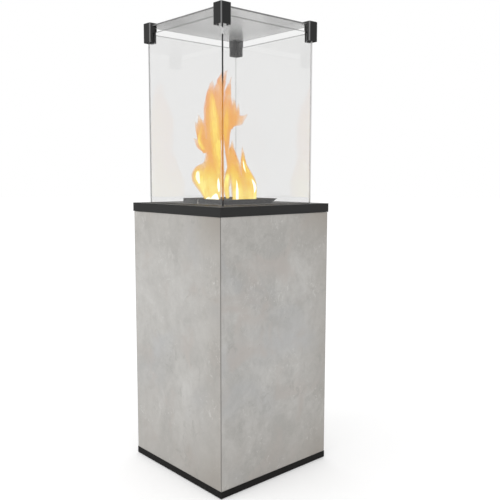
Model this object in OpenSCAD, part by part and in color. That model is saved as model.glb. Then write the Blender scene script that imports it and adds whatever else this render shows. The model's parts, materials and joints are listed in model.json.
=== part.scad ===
// Gas patio heater: a square cabinet that hides a gas bottle, and a glass flame chamber on top.
// Millimetres, +Z up. The origin is on the floor, under the centre of the cabinet.
// The plain front faces -Y, and the cabinet door is at the back, +Y.

/* [Cabinet] */
// How far the plinth stands outside the cladding
plinth_out = 1; // [0.5:0.5:10]
// Height of the plinth
plinth_h = 23; // [18:1:40]
// Width over the cladding panels
body_w = 486; // [465:1:510]
// Height of the cladding panels
panel_h = 874; // [800:1:960]
// Thickness of a cladding panel
panel_t = 8; // [6:0.5:10]
// Gap between two panels at a front corner
corner_gap = 1.2; // [0.6:0.1:3]
// How far the top plate stands outside the cladding
plate_out = 2.5; // [1:0.5:12]
// Height of the folded edge of the top plate
plate_t = 30; // [26:1:50]
// Gap between the panels and the top plate
plate_gap = 1; // [0.5:0.5:3]
// Thickness of the folded steel sheet
sheet_t = 2; // [1.5:0.1:2.5]
// Width of the flanges that stiffen the plinth and the top plate
flange_w = 72; // [66:1:80]

/* [Frame] */
// Leg of the corner post angle
post_w = 30; // [24:1:36]
// Thickness of the corner post angle
post_t = 2; // [1.5:0.1:3]
// Height of the upturned walls of the floor pan and of the heat shield
pan_wall_h = 20; // [16:1:24]
// Height of the walls of the upper frame
frame_wall_h = 25; // [20:1:30]
// Depth of the heat shield under the top plate
shield_drop = 121; // [116:1:160]
// Shank radius of the frame bolts
bolt_r = 3; // [2.5:0.5:3.5]
// Inner radius of the ring that locates the gas bottle
bottle_ring_r = 161; // [156:1:168]
// Height of the bottle ring
bottle_ring_h = 25; // [15:1:35]

/* [Door] */
// Gap between the door and the side panels
door_gap = 3; // [2.5:0.5:5]
// Gap over and under the door
door_end_gap = 4; // [4:0.5:6]
// Width of the bars of the door frame
door_bar_w = 30; // [20:1:40]
// Thickness of the bars of the door frame
door_bar_t = 4; // [3:0.5:5]
// Space between the door frame and the rear posts
door_seat = 3.5; // [3:0.5:6]
// Radius of the pivot pins
pivot_r = 3; // [2:0.25:3.5]
// Distance of the pivot axis from the hinge edge of the door
pivot_in = 6; // [5:0.5:8]
// Height of the finger cup over the foot of the door
cup_rise = 524; // [400:1:600]
// Inner radius of the finger cup
cup_r = 14; // [11:0.5:18]
// Depth of the finger cup
cup_depth = 14; // [11:0.5:18]

/* [Glass chamber] */
// Width of the glass chamber over the panes
glass_w = 402; // [390:1:405]
// Thickness of the glass
glass_t = 5; // [4:0.5:6]
// Height of the side panes over the top plate
pane_rise = 583; // [450:1:700]
// Depth of the glass channel under the top of the plate
channel_d = 14; // [12:0.5:18]
// Open gap between the side panes and the top pane
vent_gap = 22; // [16:1:30]
// Side of a corner cover
cover_w = 40; // [37:1:46]
// Height of a corner cover
cover_h = 65; // [60:1:80]
// How far a corner cover stands outside the glass
cover_out = 12; // [10:0.5:14]
// Sheet thickness of a corner cover
cover_t = 2; // [1.5:0.1:2.5]
// Radius of the vertical edges of a corner cover
cover_edge_r = 4; // [3:0.5:5]
// Depth of the end walls of a corner cover
cover_end_w = 24; // [21:0.5:25]

/* [Burner] */
// Width of the burner tray over its rim
tray_w = 232; // [225:1:250]
// Height of the rim over the top plate
tray_rise = 17; // [12:1:25]
// How far each side of the tray leans out
tray_flare = 15; // [8:1:20]
// Depth of the tray under the top plate
tray_depth = 26; // [22:1:32]
// Sheet thickness of the tray
tray_t = 1.5; // [1:0.1:2]
// Side of the square burner
burner_w = 150; // [130:1:170]
// Height of the burner box
burner_h = 15; // [12:1:16]
// Radius of a burner port
port_r = 1.75; // [1.5:0.05:2.5]
// Number of ports along a side of the burner
port_n = 7; // [5:1:9]
// Outer radius of the mixing tube
tube_r = 13; // [11:0.5:15]
// Width of the pilot housing
pilot_w = 70; // [66:1:80]
// Height of the pilot housing over the top plate
pilot_h = 18; // [15:1:22]

/* [Controls] */
// Radius of the gas knob
knob_r = 20; // [16:1:24]
// Depth of the gas knob
knob_h = 14; // [12:0.5:15]
// Radius of the valve spindle
spindle_r = 4; // [3:0.25:5]
// Radius of the igniter button
button_r = 8; // [6:0.5:9]
// How far the igniter button stands out of its bezel
button_out = 8; // [7.5:0.5:12]
// Radius of the threaded end of the gas inlet
inlet_r = 6.58; // [5:0.01:8]
// Length of the threaded end of the gas inlet
inlet_l = 14; // [10:1:20]
// Radius of the burner supply pipe
pipe_r = 4; // [3:0.5:5]

/* [Feet] */
// Clearance of the plinth over the floor
foot_gap = 3; // [2:0.5:6]
// Radius of a foot pad
foot_r = 20; // [15:1:24]
// Height of a foot pad
foot_pad_h = 8; // [6:0.5:9]
// Radius of the stud of a foot
stud_r = 5; // [4:0.5:6]
// Distance of a foot from the sides of the plinth
foot_in = 48; // [44:1:56]

/* [Hidden] */
$fn = 48;

// Clearances
run_gap = 0.05;    // shaft in its bore
seat_gap = 0.3;    // loose seat
hole_gap = 0.2;    // fastener in its hole
cut = 1;           // how far a cutting shape runs past a face

// Levels
z_plinth0 = foot_gap;
z_plinth1 = z_plinth0 + plinth_h;
z_floor = z_plinth1 + sheet_t;
z_panel1 = z_plinth1 + panel_h;
z_plate0 = z_panel1 + plate_gap;
z_plate1 = z_plate0 + plate_t;
z_frame = z_plate0 - sheet_t;
z_shield = z_plate0 - shield_drop;
z_pane1 = z_plate1 + pane_rise;
z_lid0 = z_pane1 + vent_gap;
z_lid1 = z_lid0 + glass_t;
z_rim = z_plate1 + tray_rise;

// Plan sizes
plinth_w = body_w + 2 * plinth_out;
plate_w = body_w + 2 * plate_out;
in_x = body_w / 2 - panel_t;                 // inner face of the panels
door_y0 = in_x - door_bar_t;                 // inner face of the door frame
back_y = door_y0 - door_seat;                // rear face of the back posts
door_x = in_x - door_gap;                    // side edge of the door
pivot_x = -door_x + pivot_in;
pivot_y = body_w / 2 - panel_t / 2;
foot_xy = plinth_w / 2 - foot_in;
glass_x = glass_w / 2;                       // outer face of the panes

// Glass channel in the top plate
channel_gap = 1;                             // air between the glass and the channel wall
seal_t = 3;                                  // rubber under the glass
seal_air = 0.2;                              // air round the rubber
channel_x = glass_x + channel_gap;
deck_x = glass_x - glass_t - 1.5 * channel_gap;
ledge_w = 37;
z_ledge = z_plate1 - channel_d;              // top of the ledge that carries glass and deck
z_pane0 = z_ledge + seal_t;

// Corner pieces of the glass chamber
cover_air = 5;                               // space between the top pane and the cover
cover_x = glass_x + cover_out;               // outer faces of a cover
z_cover1 = z_lid1 + cover_air + cover_t;
z_cover0 = z_cover1 - cover_h;
block_in = 6;                                // how far a block reaches inside the glass
block_up = 14;                               // height of a block over the cover's lower edge
pad_t = 1;
cover_screw_r = 2;
cover_screw_xy = glass_x + cover_out / 2 - cover_t / 2;

// Burner
tray_in = 0.5;                               // air between the tray and the deck
lip_seat = 1.5;                              // how far the lip of the tray rests on the deck
tray_box_w = tray_w - 2 * (tray_flare + lip_seat);
z_tray0 = z_plate1 - tray_depth;
burner_leg_h = 18;
burner_leg_r = 5;
z_burner0 = z_tray0 + tray_t + burner_leg_h;
burner_t = 1.5;
tube_l = 76;                                 // mixing tube under the burner
z_tube0 = z_burner0 - tube_l;
tube_cap_t = 3;
injector_r = 5;
injector_l = 16;                             // length of its hexagon under the mixing tube
z_injector0 = z_tube0 - injector_l;

// Pilot: the housing stands in front of the tray, left of the middle
pilot_x0 = -95;
pilot_depth = 15;
pilot_y1 = -tray_w / 2 - 1;                  // face of the housing towards the tray
pilot_y0 = pilot_y1 - pilot_depth;
pilot_mid_y = (pilot_y0 + pilot_y1) / 2;
pilot_burner_in = 25;                        // from the end of the housing to the pilot burner
thermo_in = 45;                              // from the same end to the thermocouple
electrode_out = 4;                           // from the other end to the electrode
pilot_burner_x = pilot_x0 + pilot_burner_in;
thermo_x = pilot_x0 + thermo_in;
electrode_x = pilot_x0 + pilot_w + electrode_out;
electrode_r = 2.5;                           // ceramic sleeve
spark_wire_r = 1;
thermo_r = 1.2;
lead_r = 1.5;
pilot_pipe_r = 2;

// Controls, on a bracket behind the door
panel_plate_t = 1.5;
nut_t = 3.5;
knob_stand = 6.5;                            // room between the nut and the knob
knob_air = 0.5;                              // room between the knob and the door frame
knob_y0 = door_y0 - knob_air - knob_h;       // inner face of the knob
panel_y = knob_y0 - knob_stand - nut_t;      // outer face of the control panel
control_up = 55;                             // height of the knob and the button over the shield
z_control = z_shield + control_up;
knob_x = -60;
button_x = 40;
valve_w = 50;
valve_l = 44;
valve_y0 = panel_y - panel_plate_t - valve_l;
bush_r = 6.9;
knob_bore_l = 9;
bezel_t = 2.5;
igniter_r = 11;
igniter_l = 60;
tilt_h = 28;
inlet_step = 0.8;                            // shoulder of the inlet in the heat shield
inlet_nut_h = 8;
inlet_x = knob_x;
inlet_y = valve_y0 + valve_l / 2;

// A slab centred on the Z axis, its underside at height z
module slab(w, d, h, z) {
    translate([-w / 2, -d / 2, z]) cube([w, d, h]);
}

// A block between two corners
module block(low, high) {
    translate(low) cube(high - low);
}

// A square ring on the Z axis, between two heights
module square_ring(outer, wall, z0, z1) {
    difference() {
        slab(outer, outer, z1 - z0, z0);
        slab(outer - 2 * wall, outer - 2 * wall, z1 - z0 + 2 * cut, z0 - cut);
    }
}

// Moves what is drawn in the back right quarter to the corner with signs sx and sy
module to_corner(sx, sy) {
    mirror([sx < 0 ? 1 : 0, 0, 0]) mirror([0, sy < 0 ? 1 : 0, 0]) children();
}

// Repeats what is drawn in the back right quarter at the four corners
module four_corners() {
    for (sx = [-1, 1], sy = [-1, 1]) to_corner(sx, sy) children();
}

// A round bar or pipe through a list of points, with round bends
module rod(points, r) {
    for (i = [0 : len(points) - 2]) {
        run = points[i + 1] - points[i];
        tilt = atan2(norm([run[0], run[1]]), run[2]);
        translate(points[i]) rotate([0, tilt, atan2(run[1], run[0])]) cylinder(h = norm(run), r = r);
    }
    if (len(points) > 2) {
        for (i = [1 : len(points) - 2]) translate(points[i]) sphere(r = r);
    }
}

// A screw along +Z, with its head below z = 0
module screw(shank_r, shank_l, head_r, head_h) {
    translate([0, 0, -head_h]) cylinder(h = head_h, r = head_r);
    cylinder(h = shank_l, r = shank_r);
}

// Cabinet

pan_x = in_x - post_t;                       // outer faces of the pans inside the posts
pan_y = back_y - post_t;                     // rear face of those pans
plinth_bolt_in = 14;                         // from the inner edge of the flange to its bolts
plinth_bolt_xy = plinth_w / 2 - flange_w + plinth_bolt_in;
plinth_bolt_off = 90;                        // from the middle of a side to its two bolts
bolt_head_r = 5.5;
bolt_head_h = 3;
bolt_end = 3;                                // how far a bolt stands out past the sheets
post_bolt_l = sheet_t + post_t;
screw_r = 2;
screw_bite = 5;                              // how deep a panel screw goes into the cladding
vent_w = 12;                                 // two vent slots in the floor pan
vent_l = 160;
vent_y = 90;

module plinth_bolt_places() {
    for (sx = [-1, 1], sy = [-1, 1]) {
        translate([sx * plinth_bolt_off, sy * plinth_bolt_xy, 0]) children();
        translate([sx * plinth_bolt_xy, sy * plinth_bolt_off, 0]) children();
    }
}

module foot_places() {
    for (sx = [-1, 1], sy = [-1, 1]) translate([sx * foot_xy, sy * foot_xy, 0]) children();
}

module plinth() {
    color("#1f1e1d") difference() {
        union() {
            square_ring(plinth_w, sheet_t, z_plinth0, z_plinth1);
            square_ring(plinth_w, flange_w, z_plinth1 - sheet_t, z_plinth1);
        }
        foot_places() translate([0, 0, z_plinth0]) cylinder(h = plinth_h + cut, r = stud_r + hole_gap);
        plinth_bolt_places() translate([0, 0, z_plinth0]) cylinder(h = plinth_h + cut, r = bolt_r + hole_gap);
        translate([pivot_x, pivot_y, z_plinth0]) cylinder(h = plinth_h + cut, r = pivot_r + run_gap);
    }
}

// A sheet pan between the posts, with upturned walls
module pan(z) {
    difference() {
        block([-pan_x, -pan_x, z - sheet_t], [pan_x, pan_y, z + pan_wall_h]);
        block([sheet_t - pan_x, sheet_t - pan_x, z],
              [pan_x - sheet_t, pan_y - sheet_t, z + pan_wall_h + cut]);
        post_bolt_holes(z + pan_wall_h / 2);
    }
}

// The bolts go through the side walls of the pans into the legs of the posts
module post_bolt_places(z) {
    for (sx = [-1, 1], y = [post_w / 2 - in_x, back_y - post_w / 2])
        translate([sx * (pan_x - sheet_t), y, z]) rotate([0, sx * 90, 0]) children();
}

module post_bolt_holes(z) {
    post_bolt_places(z) translate([0, 0, -cut])
        cylinder(h = 2 * cut + sheet_t + post_t, r = bolt_r + hole_gap);
}

module floor_pan() {
    color("#8d8f90") difference() {
        pan(z_floor);
        translate([0, 0, z_plinth1 - cut]) {
            plinth_bolt_places() cylinder(h = sheet_t + 2 * cut, r = bolt_r + hole_gap);
            foot_places() cylinder(h = sheet_t + 2 * cut, r = stud_r + hole_gap);
        }
        for (y = [-vent_y, vent_y])
            translate([0, y, 0]) slab(vent_l, vent_w, sheet_t + 2 * cut, z_plinth1 - cut);
    }
}

module bottle_ring() {
    color("#8d8f90") translate([0, 0, z_floor]) difference() {
        cylinder(h = bottle_ring_h, r = bottle_ring_r + sheet_t, $fn = 96);
        translate([0, 0, -cut]) cylinder(h = bottle_ring_h + 2 * cut, r = bottle_ring_r, $fn = 96);
    }
}

// One post in the back right quarter; the rear posts stand back from the door
module post_shape(rear) {
    y1 = rear ? back_y : in_x;
    difference() {
        block([in_x - post_w, y1 - post_w, z_plinth1], [in_x, y1, z_frame]);
        block([in_x - post_w - cut, y1 - post_w - cut, z_plinth1 - cut], [pan_x, y1 - post_t, z_frame + cut]);
    }
}

module corner_post(sx, sy) {
    color("#8d8f90") difference() {
        to_corner(sx, sy) post_shape(sy > 0);
        for (z = [z_floor, z_shield]) post_bolt_holes(z + pan_wall_h / 2);
        post_bolt_holes(z_frame - frame_wall_h / 2);
        panel_screw_places() cylinder(h = post_t + 2 * cut, r = screw_r + hole_gap, center = true);
    }
}

module corner_post_front_left() {
    corner_post(-1, -1);
}

module corner_post_front_right() {
    corner_post(1, -1);
}

module corner_post_back_left() {
    corner_post(-1, 1);
}

module corner_post_back_right() {
    corner_post(1, 1);
}

module upper_frame() {
    hole_w = 2 * (channel_x - ledge_w);
    color("#8d8f90") difference() {
        block([-pan_x, -pan_x, z_frame - frame_wall_h], [pan_x, pan_y, z_plate0]);
        block([sheet_t - pan_x, sheet_t - pan_x, z_frame - frame_wall_h - cut],
              [pan_x - sheet_t, pan_y - sheet_t, z_frame]);
        slab(hole_w, hole_w, sheet_t + 2 * cut, z_frame - cut);
        post_bolt_holes(z_frame - frame_wall_h / 2);
        plate_screw_places() cylinder(h = 2 * sheet_t + 2 * cut, r = bolt_r + hole_gap, center = true);
    }
}

module heat_shield() {
    color("#a9abac") difference() {
        pan(z_shield);
        translate([inlet_x, inlet_y, z_shield - sheet_t - cut])
            cylinder(h = sheet_t + 2 * cut, r = inlet_r + inlet_step + hole_gap);
    }
}

// The panel screws go through the posts into the cladding: two screws on each post and panel
low_screw_rise = 150;                        // from the foot of a panel to its lower screws
high_screw_drop = 190;                       // from the top of a panel to its upper screws
panel_screw_z = [z_plinth1 + low_screw_rise, z_panel1 - high_screw_drop];
screw_in = 8;                                // from the edge of a post's leg to its screws
panel_screw_xy = in_x - post_w + screw_in;

module side_screw_places() {
    for (sx = [-1, 1], sy = [-1, 1], z = panel_screw_z)
        translate([sx * pan_x, sy > 0 ? back_y - post_w + screw_in : -panel_screw_xy, z])
            rotate([0, sx * 90, 0]) children();
}

module panel_screw_places() {
    side_screw_places() children();
    for (sx = [-1, 1], z = panel_screw_z)
        translate([sx * panel_screw_xy, -pan_x, z]) rotate([90, 0, 0]) children();
}

module front_panel() {
    edge = body_w / 2 - corner_gap / 2;
    inner = in_x - corner_gap / 2;
    color("#b6b4af") difference() {
        translate([0, 0, z_plinth1]) linear_extrude(panel_h)
            polygon([[-edge, -body_w / 2], [edge, -body_w / 2], [inner, -in_x], [-inner, -in_x]]);
        panel_screw_places() cylinder(h = post_t + screw_bite, r = screw_r + run_gap);
    }
}

module side_panel(sx) {
    edge = body_w / 2 - corner_gap / 2;
    inner = in_x - corner_gap / 2;
    color("#b6b4af") difference() {
        translate([0, 0, z_plinth1]) linear_extrude(panel_h) scale([sx, 1])
            polygon([[body_w / 2, -edge], [body_w / 2, body_w / 2], [in_x, body_w / 2], [in_x, -inner]]);
        panel_screw_places() cylinder(h = post_t + screw_bite, r = screw_r + run_gap);
    }
}

module left_panel() {
    side_panel(-1);
}

module right_panel() {
    side_panel(1);
}

module frame_bolts() {
    color("#c9cacb") {
        for (z = [z_floor, z_shield])
            post_bolt_places(z + pan_wall_h / 2) screw(bolt_r, post_bolt_l, bolt_head_r, bolt_head_h);
        post_bolt_places(z_frame - frame_wall_h / 2) screw(bolt_r, post_bolt_l, bolt_head_r, bolt_head_h);
    }
}

module panel_screws() {
    color("#c9cacb") panel_screw_places() screw(screw_r, post_t + screw_bite, 2 * screw_r, screw_r);
}

// Screws from below join the upper frame to the flange of the top plate
plate_screw_in = 17;                         // from the side of the frame to its screws
plate_screw_xy = pan_x - plate_screw_in;
plate_screw_off = 120;                       // from the middle of a side to its two screws

module plate_screw_places() {
    for (sx = [-1, 1], sy = [-1, 1]) {
        translate([sx * plate_screw_off, sy * plate_screw_xy, z_frame]) children();
        translate([sx * plate_screw_xy, sy * plate_screw_off, z_frame]) children();
    }
}

module plate_screws() {
    color("#c9cacb") plate_screw_places() screw(bolt_r, 2 * sheet_t + bolt_end, bolt_head_r, bolt_head_h);
}

module plinth_bolts() {
    color("#c9cacb") plinth_bolt_places() translate([0, 0, z_floor]) mirror([0, 0, 1])
        screw(bolt_r, 2 * sheet_t + bolt_end, bolt_head_r, bolt_head_h);
}

foot_nut_h = 8;

module foot_nuts() {
    color("#c9cacb") foot_places() translate([0, 0, z_plinth1 - sheet_t - foot_nut_h]) difference() {
        cylinder(h = foot_nut_h, r = 1.8 * stud_r, $fn = 6);
        translate([0, 0, -cut]) cylinder(h = foot_nut_h + 2 * cut, r = stud_r + run_gap);
    }
}

// Top plate and glass chamber

module top_plate() {
    color("#3a3a3a") difference() {
        slab(plate_w, plate_w, plate_t, z_plate0);
        square_cut = 2 * (channel_x + sheet_t);
        // space under the skin, outside the channel
        difference() {
            slab(plate_w - 2 * sheet_t, plate_w - 2 * sheet_t, plate_t - 2 * sheet_t, z_plate0 + sheet_t);
            slab(square_cut, square_cut, plate_t, z_plate0);
        }
        // hole in the lower flange
        slab(plate_w - 2 * flange_w, plate_w - 2 * flange_w, 2 * cut + sheet_t, z_plate0 - cut);
        // space under the ledge
        slab(square_cut, square_cut, z_ledge - z_plate0 - 2 * sheet_t, z_plate0 + sheet_t);
        slab(square_cut - 2 * sheet_t, square_cut - 2 * sheet_t, channel_d + cut, z_ledge);
        slab(2 * (channel_x - ledge_w), 2 * (channel_x - ledge_w), plate_t, z_plate0 + sheet_t);
        plate_screw_places() cylinder(h = 3 * sheet_t, r = bolt_r + hole_gap);
        translate([pivot_x, pivot_y, z_plate0 - cut]) cylinder(h = sheet_t + 2 * cut, r = pivot_r + run_gap);
    }
}

module deck_plate() {
    color("#3a3a3a") difference() {
        slab(2 * deck_x, 2 * deck_x, channel_d, z_ledge);
        slab(2 * (deck_x - sheet_t), 2 * (deck_x - sheet_t), channel_d - sheet_t + cut, z_ledge - cut);
        slab(tray_box_w + 2 * tray_in, tray_box_w + 2 * tray_in, channel_d + 2 * cut, z_ledge - cut);
        for (hole = deck_holes)
            translate([hole[0], pilot_mid_y, z_ledge]) cylinder(h = channel_d + cut, r = hole[1] + hole_gap);
    }
}

module glass_seals() {
    seal_x1 = channel_x - seal_air;
    seal_x0 = deck_x + seal_air;
    color("#262626") difference() {
        slab(2 * seal_x1, 2 * seal_x1, seal_t, z_ledge);
        slab(2 * seal_x0, 2 * seal_x0, seal_t + 2 * cut, z_ledge - cut);
    }
}

// The front and back panes run the full width, and the side panes stand between them
pane_gap = 0.5;
pane_h = z_pane1 - z_pane0;
glass_blue = [0.8, 0.88, 0.9, 0.25];

module pane_front() {
    color(glass_blue) block([-glass_x, -glass_x, z_pane0], [glass_x, glass_t - glass_x, z_pane1]);
}

module pane_back() {
    color(glass_blue) block([-glass_x, glass_x - glass_t, z_pane0], [glass_x, glass_x, z_pane1]);
}

module pane_left() {
    color(glass_blue) translate([glass_t / 2 - glass_x, 0, 0])
        slab(glass_t, glass_w - 2 * glass_t - 2 * pane_gap, pane_h, z_pane0);
}

module pane_right() {
    color(glass_blue) translate([glass_x - glass_t / 2, 0, 0])
        slab(glass_t, glass_w - 2 * glass_t - 2 * pane_gap, pane_h, z_pane0);
}

module pane_top() {
    color(glass_blue) slab(glass_w, glass_w, glass_t, z_lid0);
}

// A cover in the back right quarter
module corner_cover(sx, sy) {
    c0 = cover_x - cover_w;
    c1 = cover_x - cover_t;
    rr = cover_edge_r;
    color("#3a3a3a") to_corner(sx, sy) difference() {
        translate([0, 0, z_cover0]) linear_extrude(cover_h) difference() {
            union() {
                translate([c0, c0]) square([cover_w, cover_w - rr]);
                translate([c0, c0]) square([cover_w - rr, cover_w]);
                translate([cover_x - rr, cover_x - rr]) circle(r = rr);
            }
        }
        // inside, under the top
        block([c0 + cover_t, c0 + cover_t, z_cover0 - cut], [c1, c1, z_cover1 - cover_t]);
        // the inner corner is open
        block([c0 - cut, c0 - cut, z_cover0 - cut],
              [cover_x - cover_end_w, cover_x - cover_end_w, z_cover1 - cover_t]);
        // slots for the side panes and for the top pane
        for (turn = [0, 1]) mirror([turn, -turn, 0]) {
            block([c0 - cut, glass_x - glass_t - seat_gap, z_cover0 - cut],
                  [c0 + cover_t + cut, glass_x + seat_gap, z_pane1 + pad_t]);
            block([c0 - cut, c0, z_lid0 - seat_gap],
                  [c0 + cover_t + cut, glass_x + seat_gap, z_lid1 + seat_gap]);
        }
        translate([cover_screw_xy, cover_screw_xy, z_cover1 - cover_t - cut])
            cylinder(h = cover_t + 2 * cut, r = cover_screw_r + hole_gap);
    }
}

module corner_cover_front_left() {
    corner_cover(-1, -1);
}

module corner_cover_front_right() {
    corner_cover(1, -1);
}

module corner_cover_back_left() {
    corner_cover(-1, 1);
}

module corner_cover_back_right() {
    corner_cover(1, 1);
}

block_x0 = glass_x - glass_t - block_in;
block_x1 = cover_x - cover_t - seat_gap;
z_block0 = z_cover0 + block_up;
z_block1 = z_lid0 - pad_t;

// The two panes that meet in the back right corner, grown by a gap and up to height z
module pane_corner(gap, z0, z1) {
    difference() {
        block([block_x0 - cut, block_x0 - cut, z0], [glass_x + gap, glass_x + gap, z1]);
        block([block_x0 - 2 * cut, block_x0 - 2 * cut, z0 - cut],
              [glass_x - glass_t - gap, glass_x - glass_t - gap, z1 + cut]);
    }
}

module corner_blocks() {
    color("#4a4a4a") four_corners() difference() {
        block([block_x0, block_x0, z_block0], [block_x1, block_x1, z_block1]);
        pane_corner(seat_gap, z_block0 - cut, z_pane1 + pad_t);
        translate([cover_screw_xy, cover_screw_xy, z_block0 - cut])
            cylinder(h = z_block1 - z_block0 + 2 * cut, r = cover_screw_r + run_gap);
    }
}

module glass_pads() {
    color("#262626") four_corners() {
        // on the top edges of the side panes
        intersection() {
            pane_corner(0, z_pane1, z_pane1 + pad_t);
            block([block_x0, block_x0, z_pane1], [glass_x, glass_x, z_pane1 + pad_t]);
        }
        // under and over the corner of the top pane
        block([block_x0, block_x0, z_block1], [glass_x, glass_x, z_lid0]);
        block([block_x0, block_x0, z_lid1], [glass_x, glass_x, z_cover1 - cover_t]);
    }
}

cover_screw_l = 30;

module cover_screws() {
    color("#c9cacb") four_corners() translate([cover_screw_xy, cover_screw_xy, 0]) {
        translate([0, 0, z_cover1]) cylinder(h = cover_screw_r, r = 1.8 * cover_screw_r);
        translate([0, 0, z_cover1 - cover_screw_l]) cylinder(h = cover_screw_l, r = cover_screw_r);
    }
}

// Burner

port_pitch = burner_w / (port_n + 1);

module burner_tray() {
    lip_x = tray_w / 2 - tray_flare;
    color("#464543") difference() {
        union() {
            slab(tray_box_w, tray_box_w, z_plate1 - z_tray0 + tray_t, z_tray0);
            hull() {
                slab(2 * lip_x, 2 * lip_x, tray_t, z_plate1);
                slab(tray_w, tray_w, tray_t, z_rim - tray_t);
            }
        }
        slab(tray_box_w - 2 * tray_t, tray_box_w - 2 * tray_t, tray_depth + 2 * tray_t, z_tray0 + tray_t);
        hull() {
            slab(2 * lip_x - 2 * tray_t, 2 * lip_x - 2 * tray_t, tray_t, z_plate1 + tray_t);
            slab(tray_w - 2 * tray_t, tray_w - 2 * tray_t, tray_t, z_rim - tray_t / 2);
        }
        translate([0, 0, z_tray0 - cut]) cylinder(h = tray_t + 2 * cut, r = tube_r + hole_gap);
    }
}

module burner() {
    leg_xy = burner_w / 2 - 2 * burner_leg_r;
    port_at = [for (i = [1 : port_n]) i * port_pitch - burner_w / 2];
    color("#b9b8b4") difference() {
        union() {
            slab(burner_w, burner_w, burner_h, z_burner0);
            translate([0, 0, z_tube0]) cylinder(h = tube_l, r = tube_r);
            four_corners() translate([leg_xy, leg_xy, z_tray0 + tray_t])
                cylinder(h = burner_leg_h, r = burner_leg_r);
        }
        slab(burner_w - 2 * burner_t, burner_w - 2 * burner_t, burner_h - 2 * burner_t, z_burner0 + burner_t);
        translate([0, 0, z_tube0 + tube_cap_t]) cylinder(h = tube_l, r = tube_r - burner_t);
        translate([0, 0, z_tube0 - cut]) cylinder(h = tube_cap_t + 2 * cut, r = injector_r + run_gap);
        // ports in the top, and air holes in the mixing tube
        for (x = port_at, y = port_at)
            translate([x, y, z_burner0 + burner_h / 2]) cylinder(h = burner_h, r = port_r, $fn = 24);
        for (a = [0, 90])
            translate([0, 0, z_tube0 + tube_r + tube_cap_t]) rotate([90, 0, a])
                cylinder(h = 2 * tube_r + 2 * cut, r = tube_r / 2, center = true);
    }
}

jet_up = 2;                                  // how far the jet reaches into the mixing tube

module injector() {
    color("#b08d4c") {
        translate([0, 0, z_injector0]) cylinder(h = z_tube0 - z_injector0, r = 1.6 * injector_r, $fn = 6);
        translate([0, 0, z_tube0]) cylinder(h = tube_cap_t + jet_up, r = injector_r);
    }
}

// Pilot

pilot_t = 1;
pilot_nut_r = 4.5;
pilot_nut_h = 3;
pilot_jet_r = 3;
pilot_jet_low = 2;                           // how far the jet ends under the rim of the housing
thermo_low = 3;                              // how far the thermocouple ends under the rim
sleeve_low = 2;                              // how far the ceramic sleeve starts under the deck
deck_holes = [[pilot_burner_x, pilot_pipe_r], [thermo_x, thermo_r], [electrode_x, electrode_r]];

module pilot_housing() {
    color("#464543") difference() {
        block([pilot_x0, pilot_y0, z_plate1], [pilot_x0 + pilot_w, pilot_y1, z_plate1 + pilot_h]);
        block([pilot_x0 + pilot_t, pilot_y0 + pilot_t, z_plate1 + pilot_t],
              [pilot_x0 + pilot_w - pilot_t, pilot_y1 + cut, z_plate1 + pilot_h + cut]);
        for (hole = deck_holes)
            translate([hole[0], pilot_mid_y, z_plate1 - cut])
                cylinder(h = pilot_t + 2 * cut, r = hole[1] + hole_gap);
    }
}

module pilot_burner() {
    color("#b9b8b4") translate([pilot_burner_x, pilot_mid_y, z_plate1 + pilot_t]) {
        cylinder(h = pilot_nut_h, r = pilot_nut_r, $fn = 6);
        cylinder(h = pilot_h - pilot_t - pilot_jet_low, r = pilot_jet_r);
    }
}

module spark_electrode() {
    color("#d8d6cf") translate([electrode_x, pilot_mid_y, 0]) {
        translate([0, 0, z_ledge - sleeve_low])
            cylinder(h = sleeve_low + channel_d + pilot_h / 3, r = electrode_r);
        translate([0, 0, z_plate1]) cylinder(h = pilot_h - spark_wire_r, r = spark_wire_r);
    }
}

module thermocouple() {
    color("#b87a4b") rod([[thermo_x, valve_y0, z_thermo], [thermo_x, pilot_mid_y, z_thermo],
                          [thermo_x, pilot_mid_y, z_plate1 + pilot_h - thermo_low]], thermo_r);
}

module ignition_lead() {
    color("#7a2c24") rod([[button_x, panel_y - panel_plate_t - igniter_l, z_control],
                          [button_x, pilot_mid_y, z_control], [electrode_x, pilot_mid_y, z_control],
                          [electrode_x, pilot_mid_y, z_ledge - sleeve_low]], lead_r);
}

gas_down = 13;                               // heights of the lines that leave the valve, from its axis
thermo_up = 8;
pilot_up = 18;
z_gas = z_control - gas_down;
z_thermo = z_control + thermo_up;
z_pilot = z_control + pilot_up;

module gas_pipe() {
    color("#b87a4b") rod([[knob_x, valve_y0, z_gas], [knob_x, 0, z_gas],
                          [0, 0, z_gas], [0, 0, z_injector0]], pipe_r);
}

module pilot_pipe() {
    color("#b87a4b") rod([[pilot_burner_x, valve_y0, z_pilot], [pilot_burner_x, pilot_mid_y, z_pilot],
                          [pilot_burner_x, pilot_mid_y, z_plate1 + pilot_t]], pilot_pipe_r);
}

// Controls

control_past_knob = 60;                      // from the knob to its end of the panel
control_past_button = 50;                    // from the button to the other end
control_x0 = knob_x - control_past_knob;
control_x1 = button_x + control_past_button;
control_h = 88;
control_foot = 25;
valve_z0 = z_control - valve_w / 2;
spindle_push = 4;                            // travel of the spindle when the knob is pushed
spindle_air = 1;                             // space left behind the pushed spindle
spindle_bore_l = 30;

module control_panel() {
    color("#8d8f90") difference() {
        union() {
            block([control_x0, panel_y - panel_plate_t, z_shield],
                  [control_x1, panel_y, z_shield + control_h]);
            block([control_x1 - control_foot, panel_y - control_foot, z_shield],
                  [control_x1, panel_y, z_shield + panel_plate_t]);
            block([control_x0, panel_y - control_foot, z_shield],
                  [control_x0 + control_foot, panel_y, z_shield + panel_plate_t]);
        }
        translate([knob_x, panel_y + cut, z_control]) rotate([90, 0, 0])
            cylinder(h = panel_plate_t + 2 * cut, r = bush_r + hole_gap);
        translate([button_x, panel_y + cut, z_control]) rotate([90, 0, 0])
            cylinder(h = panel_plate_t + 2 * cut, r = igniter_r + hole_gap);
    }
}

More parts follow.
